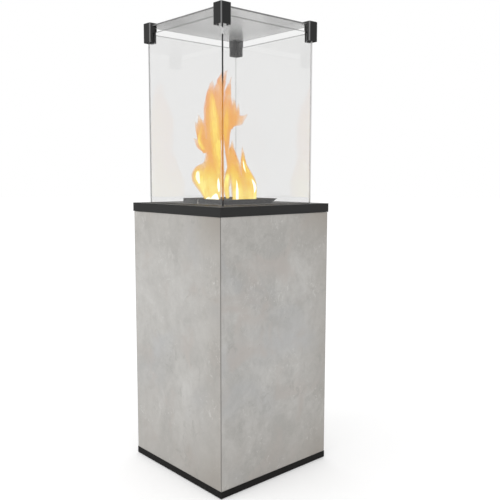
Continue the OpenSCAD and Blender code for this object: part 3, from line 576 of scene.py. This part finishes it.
burner_edge = 0.0004
pilot_edge = 0.0003
burner_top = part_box("burner")[1].z
burner_steel = heated_steel("heated_steel", burner_top - 0.02, burner_top + 0.004)
finish_piece(eased_copy("burner", burner_edge), burner_steel)
pilot_low, pilot_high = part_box("pilot_burner")
pilot_steel = heated_steel("heated_pilot_steel", pilot_low.z, pilot_high.z)
finish_piece(eased_copy("pilot_burner", pilot_edge), pilot_steel)

# Brass and copper
# The injector and the gas inlet are turned brass; the pipes and the thermocouple are drawn copper that
# has gone brown in places.


def warm_metal(name, bright, dull, scale):
    """Bright metal, tarnished in patches."""
    metal = Finish(name, Metallic=1.0)
    here = metal.place()
    tarnish = metal.window(metal.noise(here, scale, detail=5, rough=0.6), 0.42, 0.68)
    metal.drive("Base Color", metal.tint(tarnish, bright, dull))
    metal.drive("Roughness", 0.22 + 0.25 * tarnish)
    metal.bump(metal.noise(here, 420, detail=2), 0.0002, strength=0.15)
    return metal


fitting_edge = 0.0004
pipe_edge = 0.0003
brass = warm_metal("turned_brass", (0.70, 0.50, 0.22), (0.42, 0.29, 0.12), 40)
for fitting in ("injector", "gas_inlet"):
    finish_piece(eased_copy(fitting, fitting_edge), brass)
copper = warm_metal("drawn_copper", (0.76, 0.38, 0.22), (0.36, 0.17, 0.10), 26)
for pipe in ("gas_pipe", "pilot_pipe", "thermocouple"):
    finish_piece(eased_copy(pipe, pipe_edge), copper)

# Spark electrode and its lead
# A white ceramic sleeve with a steel wire, and a red silicone lead down to the igniter.

sleeve_edge = 0.0002
lead_edge = 0.0003

ceramic = Finish("white_ceramic")
ceramic_soot = ceramic.window(ceramic.noise(ceramic.place(), 90, detail=4), 0.5, 0.75)
ceramic.drive("Base Color", ceramic.tint(ceramic_soot * 0.6, (0.74, 0.72, 0.68), (0.30, 0.27, 0.24)))
ceramic.drive("Roughness", 0.35 + 0.3 * ceramic_soot)
finish_piece(eased_copy("spark_electrode", sleeve_edge), ceramic)

lead_skin = Finish("silicone_lead", Specular_IOR_Level=0.4)
lead_cloud = lead_skin.noise(lead_skin.place(), 30, detail=3)
lead_skin.drive("Base Color", lead_skin.tint(lead_cloud, (0.30, 0.020, 0.012), (0.20, 0.014, 0.010)))
lead_skin.drive("Roughness", 0.45 + 0.2 * lead_cloud)
finish_piece(eased_copy("ignition_lead", lead_edge), lead_skin)

# Galvanised frame
# Posts, pans, door frame and brackets of zinc-coated sheet, which shows flat crystals of a few millimetres.


def spangled_zinc(name, scale):
    """Zinc in flat crystals, each of its own grey, and a little stained."""
    zinc = Finish(name, Metallic=0.85)
    here = zinc.place()
    crystals = zinc.node("TexVoronoi", {"feature": "F1"}, {"Vector": here, "Scale": scale}, out="Color")
    shade = zinc.node("SeparateColor", {}, {"Color": crystals}).out("Red")
    stain_and_shade = zinc.window(zinc.noise(here, 7, detail=4), 0.45, 0.75)
    coat = zinc.tint(shade, (0.36, 0.37, 0.38), (0.52, 0.53, 0.54))
    zinc.drive("Base Color", zinc.tint(stain_and_shade * 0.35, coat, (0.34, 0.33, 0.31)))
    zinc.drive("Roughness", 0.34 + 0.16 * shade)
    zinc.bump(shade, 0.0002, strength=0.12)
    return zinc


zinc = spangled_zinc("spangled_zinc", 120)
sheet_edge = 0.0005
galvanised = ["floor_pan", "bottle_ring", "upper_frame", "control_panel", "door_frame"]
galvanised += [f"corner_post_{end}_{side}" for end in ("front", "back") for side in ("left", "right")]
for sheet in galvanised:
    finish_piece(eased_copy(sheet, sheet_edge), zinc)

# Heat shield and gas valve
# Bare aluminium: a rolled sheet over the bottle space, and a cast valve body.


def mill_aluminium(name, grain_scale):
    """Bare aluminium, dulled in places; grain_scale draws its grain out along one axis or none."""
    metal = Finish(name, Metallic=1.0)
    grain = metal.noise(metal.place(scale=grain_scale), 1.0, detail=3)
    dulled = metal.window(metal.noise(metal.place(), 9, detail=4), 0.4, 0.7)
    metal.drive("Base Color", metal.tint(dulled * 0.6, (0.66, 0.66, 0.67), (0.48, 0.48, 0.48)))
    metal.drive("Roughness", 0.26 + 0.2 * grain)
    metal.bump(grain, 0.0002, strength=0.2)
    return metal


casting_edge = 0.0012
rolled = mill_aluminium("rolled_aluminium", (8, 320, 320))
finish_piece(eased_copy("heat_shield", sheet_edge), rolled)
cast = mill_aluminium("cast_aluminium", (160, 160, 160))
finish_piece(eased_copy("gas_valve", casting_edge, segments=3), cast)

# Fasteners
# Zinc-plated screws, bolts and nuts, the door's pivot pins and the valve's spindle. The screws on the
# corner covers have a round socket in their heads.


def plated_zinc(name):
    """Thin bright zinc, a little clouded."""
    plate = Finish(name, Metallic=1.0)
    here = plate.place()
    cloud = plate.noise(here, 60, detail=3)
    plate.drive("Base Color", plate.tint(cloud, (0.60, 0.61, 0.63), (0.50, 0.50, 0.47)))
    plate.drive("Roughness", 0.22 + 0.18 * cloud)
    plate.bump(plate.noise(here, 500, detail=2), 0.0002, strength=0.1)
    return plate


socket_screw_edge = 0.0002
fastener_edge = 0.0004
socket_rim = 0.0016
socket_depth = 0.0012
socket_taper = 0.0001


def sink_sockets(form):
    """Sinks a round socket into the top face of every upright screw."""
    top = max(vert.co.z for vert in form.verts)
    upward = [face for face in form.faces if face.normal.z > upright_share]
    heads = [face for face in upward if face.calc_center_median().z > top - touch]
    bmesh.ops.inset_individual(form, faces=heads, thickness=socket_rim)
    bmesh.ops.inset_individual(form, faces=heads, thickness=socket_taper, depth=-socket_depth)


fastener_plate = plated_zinc("plated_zinc")
cover_screws = eased_copy("cover_screws", socket_screw_edge, shape=sink_sockets)
finish_piece(cover_screws, fastener_plate)
for fastener in (
    "frame_bolts", "panel_screws", "plate_screws", "plinth_bolts", "foot_nuts", "door_pivots", "valve_spindle"
):
    finish_piece(eased_copy(fastener, fastener_edge), fastener_plate)

# Plastic controls
# Knob, igniter, magnet catch and finger cup of fine-textured black plastic, a red button and an ochre
# tilt switch. The knob has a white line on its grip.


def moulded_plastic(name, colour, rough):
    """Fine-textured plastic, paler and smoother where hands have worn it."""
    plastic = Finish(name, Specular_IOR_Level=0.45)
    here = plastic.place()
    handled = plastic.window(plastic.noise(here, 22, detail=4), 0.4, 0.75)
    worn = tuple(min(1.0, c * 1.35 + 0.01) for c in colour)
    plastic.drive("Base Color", plastic.tint(handled * 0.6, colour, worn))
    plastic.drive("Roughness", rough - 0.12 * handled)
    plastic.bump(plastic.noise(here, 1100, detail=2), 0.0002, strength=0.3)
    return plastic


jet = (0.016, 0.016, 0.017)
thin_wall_edge = 0.0006
thick_wall_edge = 0.0010
cup_edge = 0.0005
black_plastic = moulded_plastic("black_plastic", jet, 0.5)
for moulding, edge in (
    ("igniter_body", thin_wall_edge), ("magnet_catch", thick_wall_edge), ("finger_cup", cup_edge)
):
    finish_piece(eased_copy(moulding, edge, segments=3), black_plastic)
red_plastic = moulded_plastic("red_plastic", (0.36, 0.014, 0.010), 0.35)
finish_piece(eased_copy("igniter_button", thick_wall_edge, segments=3), red_plastic)
ochre_plastic = moulded_plastic("ochre_plastic", (0.50, 0.34, 0.07), 0.45)
finish_piece(eased_copy("tilt_switch", thin_wall_edge), ochre_plastic)

knob_low, knob_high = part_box("control_knob")
knob_centre = (knob_low + knob_high) / 2
mark_half_width = 0.0009
mark_length = 0.014
mark_depth = 0.0006
knob_plastic = moulded_plastic("knob_plastic", jet, 0.5)
knob_across = abs(knob_plastic.along("X") - knob_centre.x)
on_line = 1 - (knob_across > mark_half_width)
on_grip = knob_plastic.along("Z") > knob_high.z - mark_length
on_face = knob_plastic.along("Y") > knob_high.y - mark_depth
knob_cloud = knob_plastic.noise(knob_plastic.place(), 22, detail=4)
knob_body = knob_plastic.tint(knob_cloud * 0.5, jet, (0.030, 0.030, 0.031))
marked = on_line * on_grip * on_face
knob_plastic.drive("Base Color", knob_plastic.tint(marked, knob_body, (0.75, 0.75, 0.74)))
finish_piece(eased_copy("control_knob", thick_wall_edge, segments=3), knob_plastic)

# Feet
# Rubber pads on steel studs that level the heater.

foot_edge = 0.0012
foot_rubber = rubber("foot_rubber")
for end in ("front", "back"):
    for side in ("left", "right"):
        finish_piece(eased_copy(f"foot_{end}_{side}", foot_edge, segments=3), foot_rubber)

# Flames
# Burning gas over the burner has no solid form. Here it is closed skins round tongues that rise from the
# ports and fade at their tips: three of thin orange inside each other, a yellow core and white hot patches.
# A tongue is its depth behind the burner's middle, then its points: across, up and half its width.

flame_tongues = {
    "body": (0.000, [(-0.058, 0.002, 0.026), (-0.062, 0.037, 0.035), (-0.061, 0.076, 0.042),
                     (-0.058, 0.111, 0.036), (-0.055, 0.142, 0.030), (-0.054, 0.163, 0.027),
                     (-0.056, 0.187, 0.029), (-0.057, 0.229, 0.031), (-0.061, 0.281, 0.029),
                     (-0.064, 0.336, 0.024), (-0.063, 0.370, 0.017), (-0.062, 0.397, 0.008),
                     (-0.059, 0.420, 0.001)]),
    "bulge": (0.010, [(-0.077, 0.005, 0.012), (-0.086, 0.035, 0.018), (-0.099, 0.060, 0.023),
                      (-0.113, 0.083, 0.025), (-0.109, 0.104, 0.019), (-0.093, 0.118, 0.013),
                      (-0.076, 0.139, 0.007)]),
    "top_fill": (-0.006, [(-0.046, 0.253, 0.014), (-0.046, 0.328, 0.015), (-0.045, 0.369, 0.013),
                          (-0.044, 0.390, 0.009), (-0.042, 0.405, 0.002)]),
    "top_tip": (-0.014, [(-0.039, 0.211, 0.017), (-0.037, 0.280, 0.019), (-0.037, 0.334, 0.017),
                         (-0.036, 0.375, 0.015), (-0.032, 0.402, 0.013), (-0.026, 0.423, 0.011),
                         (-0.016, 0.438, 0.007), (-0.006, 0.450, 0.002)]),
    "right_upper": (-0.008, [(-0.001, 0.114, 0.010), (-0.006, 0.149, 0.009), (-0.012, 0.184, 0.008),
                             (-0.013, 0.218, 0.011), (-0.011, 0.260, 0.017), (-0.011, 0.297, 0.020),
                             (-0.012, 0.331, 0.016), (-0.009, 0.362, 0.012), (-0.006, 0.383, 0.006),
                             (-0.001, 0.396, 0.001)]),
    "right_wisp": (-0.008, [(-0.009, 0.362, 0.012), (-0.005, 0.388, 0.008), (-0.001, 0.408, 0.005),
                            (0.003, 0.426, 0.001)]),
    "right_mid": (0.016, [(-0.005, 0.254, 0.012), (0.005, 0.289, 0.016), (0.010, 0.317, 0.011),
                          (0.011, 0.341, 0.006), (0.011, 0.363, 0.001)]),
    "branch": (0.004, [(-0.003, 0.267, 0.014), (0.015, 0.279, 0.017), (0.030, 0.282, 0.015),
                       (0.044, 0.288, 0.009), (0.053, 0.294, 0.004), (0.060, 0.301, 0.001)]),
    "branch_up": (0.004, [(0.018, 0.279, 0.012), (0.023, 0.300, 0.010), (0.027, 0.322, 0.006),
                          (0.031, 0.343, 0.001)]),
    "branch_low": (0.010, [(0.013, 0.271, 0.011), (0.030, 0.273, 0.012), (0.041, 0.278, 0.008),
                           (0.049, 0.287, 0.002)]),
    "left_tongue": (-0.006, [(-0.080, 0.170, 0.014), (-0.093, 0.204, 0.017), (-0.096, 0.235, 0.017),
                             (-0.099, 0.263, 0.013), (-0.104, 0.287, 0.006), (-0.111, 0.305, 0.001)]),
    "left_mid": (0.006, [(-0.100, 0.212, 0.011), (-0.106, 0.243, 0.010), (-0.116, 0.264, 0.005),
                         (-0.125, 0.280, 0.001)]),
    "left_low": (-0.004, [(-0.089, 0.177, 0.009), (-0.100, 0.189, 0.015), (-0.110, 0.202, 0.011),
                          (-0.119, 0.211, 0.005), (-0.128, 0.219, 0.001)]),
    "right_foot": (0.026, [(0.069, 0.003, 0.023), (0.070, 0.037, 0.024), (0.065, 0.065, 0.026),
                           (0.055, 0.093, 0.019), (0.047, 0.122, 0.012), (0.044, 0.150, 0.007),
                           (0.042, 0.175, 0.004), (0.041, 0.193, 0.001)]),
    "middle": (0.012, [(0.033, 0.003, 0.027), (0.030, 0.044, 0.026), (0.022, 0.083, 0.026),
                       (0.012, 0.122, 0.023), (0.006, 0.157, 0.015), (0.005, 0.181, 0.008),
                       (0.006, 0.202, 0.004), (0.008, 0.217, 0.001)]),
    "middle_left": (-0.014, [(-0.013, 0.051, 0.011), (-0.011, 0.079, 0.012), (-0.002, 0.107, 0.010),
                             (0.003, 0.135, 0.010), (0.001, 0.163, 0.008), (-0.003, 0.187, 0.002)]),
    "left_foot": (-0.020, [(-0.008, 0.008, 0.006), (-0.013, 0.031, 0.010), (-0.015, 0.058, 0.011),
                           (-0.011, 0.086, 0.008)]),
}
core_tongues = {
    "body_core": (-0.018, [(-0.040, 0.093, 0.009), (-0.042, 0.135, 0.013), (-0.045, 0.180, 0.016),
                           (-0.049, 0.226, 0.017), (-0.053, 0.274, 0.017), (-0.056, 0.322, 0.013),
                           (-0.060, 0.360, 0.008), (-0.063, 0.385, 0.001)]),
    "base_core": (0.000, [(-0.058, 0.002, 0.023), (-0.064, 0.037, 0.030), (-0.068, 0.069, 0.033),
                          (-0.072, 0.095, 0.025), (-0.068, 0.118, 0.012), (-0.065, 0.135, 0.002)]),
    "bulge_core": (0.004, [(-0.076, 0.012, 0.011), (-0.087, 0.040, 0.015), (-0.101, 0.067, 0.019),
                           (-0.112, 0.086, 0.018), (-0.105, 0.104, 0.012), (-0.095, 0.114, 0.002)]),
    "right_core": (-0.006, [(-0.016, 0.208, 0.003), (-0.016, 0.242, 0.007), (-0.015, 0.277, 0.008),
                            (-0.009, 0.311, 0.005), (-0.006, 0.332, 0.001)]),
    "left_core": (-0.016, [(-0.087, 0.177, 0.005), (-0.100, 0.194, 0.008), (-0.103, 0.218, 0.007),
                           (-0.098, 0.246, 0.005), (-0.095, 0.267, 0.001)]),
    "middle_core": (0.008, [(0.028, 0.002, 0.019), (0.027, 0.037, 0.018), (0.019, 0.079, 0.014),
                            (0.009, 0.114, 0.009), (0.003, 0.142, 0.002)]),
    "foot_core": (0.020, [(0.076, 0.003, 0.015), (0.079, 0.037, 0.015), (0.073, 0.062, 0.015),
                          (0.061, 0.093, 0.011), (0.050, 0.120, 0.007), (0.045, 0.146, 0.004),
                          (0.043, 0.167, 0.001)]),
    "left_foot_core": (-0.018, [(-0.009, 0.013, 0.004), (-0.014, 0.037, 0.007), (-0.014, 0.065, 0.007),
                                (-0.009, 0.090, 0.005), (-0.002, 0.114, 0.002)]),
}
hot_tongues = {
    "bulge_hot": (-0.025, [(-0.104, 0.060, 0.004), (-0.109, 0.074, 0.010), (-0.111, 0.088, 0.012),
                           (-0.108, 0.104, 0.006)]),
    "base_hot": (-0.045, [(-0.050, 0.001, 0.024), (-0.049, 0.009, 0.022), (-0.047, 0.017, 0.015),
                          (-0.044, 0.026, 0.004)]),
    "base_left_hot": (-0.036, [(-0.072, 0.001, 0.019), (-0.071, 0.007, 0.016), (-0.069, 0.014, 0.005)]),
    "line_hot": (-0.050, [(-0.035, 0.032, 0.003), (-0.036, 0.050, 0.008), (-0.037, 0.067, 0.006),
                          (-0.037, 0.083, 0.002)]),
    "middle_hot": (-0.024, [(0.025, 0.002, 0.008), (0.025, 0.030, 0.008), (0.024, 0.055, 0.005),
                            (0.022, 0.076, 0.001)]),
    "foot_hot": (-0.009, [(0.085, 0.028, 0.002), (0.087, 0.042, 0.007), (0.084, 0.059, 0.007),
                          (0.075, 0.078, 0.003)]),
    "tip_hot": (0.006, [(0.055, 0.097, 0.002), (0.049, 0.113, 0.005), (0.046, 0.130, 0.003),
                        (0.044, 0.146, 0.001)]),
}
flame_depth_share = 1.5
tip_steps = 4
flame_height = 0.440
broad_ripple = (70, 70, 20)
fine_ripple = (190, 190, 45)
fine_share = 0.6
foot_ripple = 0.15
flame_place = Matrix.Translation((0, 0, burner_top)) @ Matrix.Rotation(camera_turn, 4, "Z")


def tongue_tubes(name, tongues, share):
    """A mesh of round tubes along the tongues, thinned to a share of their width."""
    paths = bpy.data.curves.new(name + "_paths", "CURVE")
    paths.dimensions = "3D"
    paths.bevel_depth = 1.0
    paths.bevel_resolution = 4
    paths.use_fill_caps = True
    for depth, places in tongues.values():
        line = paths.splines.new("NURBS")
        line.points.add(len(places) - 1)
        for point, (across, up, half) in zip(line.points, places):
            point.co = (across, depth / flame_depth_share, up, 1)
            point.radius = half * share
        line.order_u = 3
        line.resolution_u = 6
        line.use_endpoint_u = True
    tubes = bpy.data.objects.new(name + "_tubes", paths)
    bpy.context.scene.collection.objects.link(tubes)
    bpy.context.view_layer.update()
    mesh = bpy.data.meshes.new_from_object(tubes.evaluated_get(bpy.context.evaluated_depsgraph_get()))
    bpy.data.objects.remove(tubes)
    bpy.data.curves.remove(paths)
    mesh.transform(flame_place @ Matrix.Diagonal((1, flame_depth_share, 1, 1)))
    return mesh


def mark_tips(mesh, tongues, share, fade):
    """Writes the attribute tip: 1 at the end of a point's tongue, 0 from fade metres below it."""
    points = numpy.empty(len(mesh.vertices) * 3)
    mesh.vertices.foreach_get("co", points)
    points = points.reshape(-1, 3)
    nearest = numpy.full(len(points), numpy.inf)
    tips = numpy.zeros(len(points))
    for depth, places in tongues.values():
        line = [(flame_place @ Vector((across, depth, up)), half * share) for across, up, half in places]
        left = 0.0
        for (here, wide), (beyond, narrow) in reversed(list(zip(line, line[1:]))):
            length = (beyond - here).length
            for step in range(tip_steps):
                part = step / tip_steps
                spot = beyond.lerp(here, part)
                gap = numpy.linalg.norm(points - spot, axis=1) - (narrow + (wide - narrow) * part)
                closer = gap < nearest
                nearest[closer] = gap[closer]
                tips[closer] = max(0.0, 1 - (left + length * part) / fade)
            left += length
    mesh.attributes.new("tip", "FLOAT", "POINT").data.foreach_set("value", tips)


def ripple(spot, scale):
    """Smooth noise, with one scale for each axis."""
    return noise.noise(Vector((spot.x * scale[0], spot.y * scale[1], spot.z * scale[2])))


def flame_skin(name, tongues, share, detail, ragged, fade):
    """One closed skin round the tongues, with ridges that rise and grow towards the tips."""
    tubes = tongue_tubes(name, tongues, share)
    flame = bpy.data.objects.new(name, tubes)
    bpy.context.scene.collection.objects.link(flame)
    merged = flame.modifiers.new("merge", "REMESH")
    merged.mode = "VOXEL"
    merged.voxel_size = detail
    merged.use_smooth_shade = True
    smooth = flame.modifiers.new("smooth", "SMOOTH")
    smooth.factor = 0.5
    smooth.iterations = 4
    bpy.context.view_layer.update()
    flame.data = bpy.data.meshes.new_from_object(flame.evaluated_get(bpy.context.evaluated_depsgraph_get()))
    flame.data.name = name
    flame.modifiers.clear()
    bpy.data.meshes.remove(tubes)
    outward = [vert.normal.copy() for vert in flame.data.vertices]
    for vert, away in zip(flame.data.vertices, outward):
        rise = max(0.0, vert.co.z - burner_top) / flame_height
        wave = ripple(vert.co, broad_ripple) + fine_share * ripple(vert.co, fine_ripple)
        vert.co += away * (ragged * wave * (foot_ripple + rise))
    mark_tips(flame.data, tongues, share, fade)
    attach(flame, "cabinet")
    return flame


def flame_glow(name, stops, solid, thinned):
    """Glowing gas: a colour for each height, cooler licks, and see-through where thin and at the tips."""
    glow = Finish(name, Base_Color=(0, 0, 0, 1), Roughness=1.0, Specular_IOR_Level=0.0, Emission_Strength=1.0)
    height = {"Value": glow.along("Z"), "From Min": burner_top, "From Max": burner_top + flame_height}
    rise = glow.node("MapRange", {}, height)
    streak = glow.noise(glow.place(scale=(1, 1, 0.2)), 75, detail=4, rough=0.6, distortion=0.8)
    billow = glow.noise(glow.place(), 17, detail=3, distortion=0.8)
    colour = glow.ramp(rise + 0.50 * (billow - 0.5) + 0.36 * (streak - 0.5), stops)
    lick = glow.noise(glow.place(scale=(1, 1, 0.4)), 34, detail=5, rough=0.62, distortion=1.6)
    cooler = glow.window(lick, 0.48, 0.64) * thinned
    glow.drive("Emission Color", glow.tint(cooler * 0.75, colour, (0.92, 0.34, 0.02)))
    thin = glow.window(rise, 0.35, 1.0) * thinned
    gaps = glow.window(streak, 0.30, 0.62)
    tip = glow.node("Attribute", {"attribute_name": "tip"}, {}, out="Fac")
    feather = glow.window(tip, 0.0, 0.9) * (1 - 0.2 * gaps)
    glow.drive("Alpha", solid * (1 - thin * (1 - gaps)) * (0.8 + 0.2 * gaps) * (1 - feather))
    return glow


outer_stops = [(0.0, (0.97, 0.64, 0.12)), (0.20, (0.97, 0.51, 0.05)), (0.33, (0.96, 0.36, 0.02)),
               (0.60, (0.96, 0.37, 0.03)), (0.80, (0.96, 0.34, 0.07)), (1.0, (0.94, 0.34, 0.12))]
inner_stops = [(0.0, (1.15, 0.98, 0.24)), (0.22, (1.05, 0.74, 0.08)), (0.35, (1.02, 0.52, 0.03)),
               (0.70, (1.02, 0.56, 0.04)), (1.0, (1.00, 0.44, 0.06))]
core_stops = [(0.0, (1.35, 1.30, 0.46)), (0.22, (1.20, 1.05, 0.18)), (0.36, (1.15, 0.92, 0.13)),
              (0.60, (1.25, 1.12, 0.22)), (0.92, (1.1, 0.72, 0.12))]
hot_stops = [(0.0, (2.6, 2.5, 2.1)), (0.5, (2.4, 2.3, 1.7))]
for name, tongues, share, detail, ragged, fade, stops, solid, thinned in (
    ("flame_outer", flame_tongues, 1.05, 0.0020, 0.0040, 0.062, outer_stops, 0.27, 0.75),
    ("flame_middle", flame_tongues, 0.92, 0.0020, 0.0040, 0.062, outer_stops, 0.38, 0.70),
    ("flame_inner", flame_tongues, 0.72, 0.0020, 0.0040, 0.062, inner_stops, 0.50, 0.45),
    ("flame_core", core_tongues, 1.0, 0.0016, 0.0030, 0.040, core_stops, 0.72, 0.2),
    ("flame_hot", hot_tongues, 0.62, 0.0012, 0.0008, 0.012, hot_stops, 0.45, 0.0),
):
    skin = flame_skin(name, tongues, share, detail, ragged, fade)
    skin.data.materials.clear()
    skin.data.materials.append(flame_glow(name + "_glow", stops, solid, thinned).material)
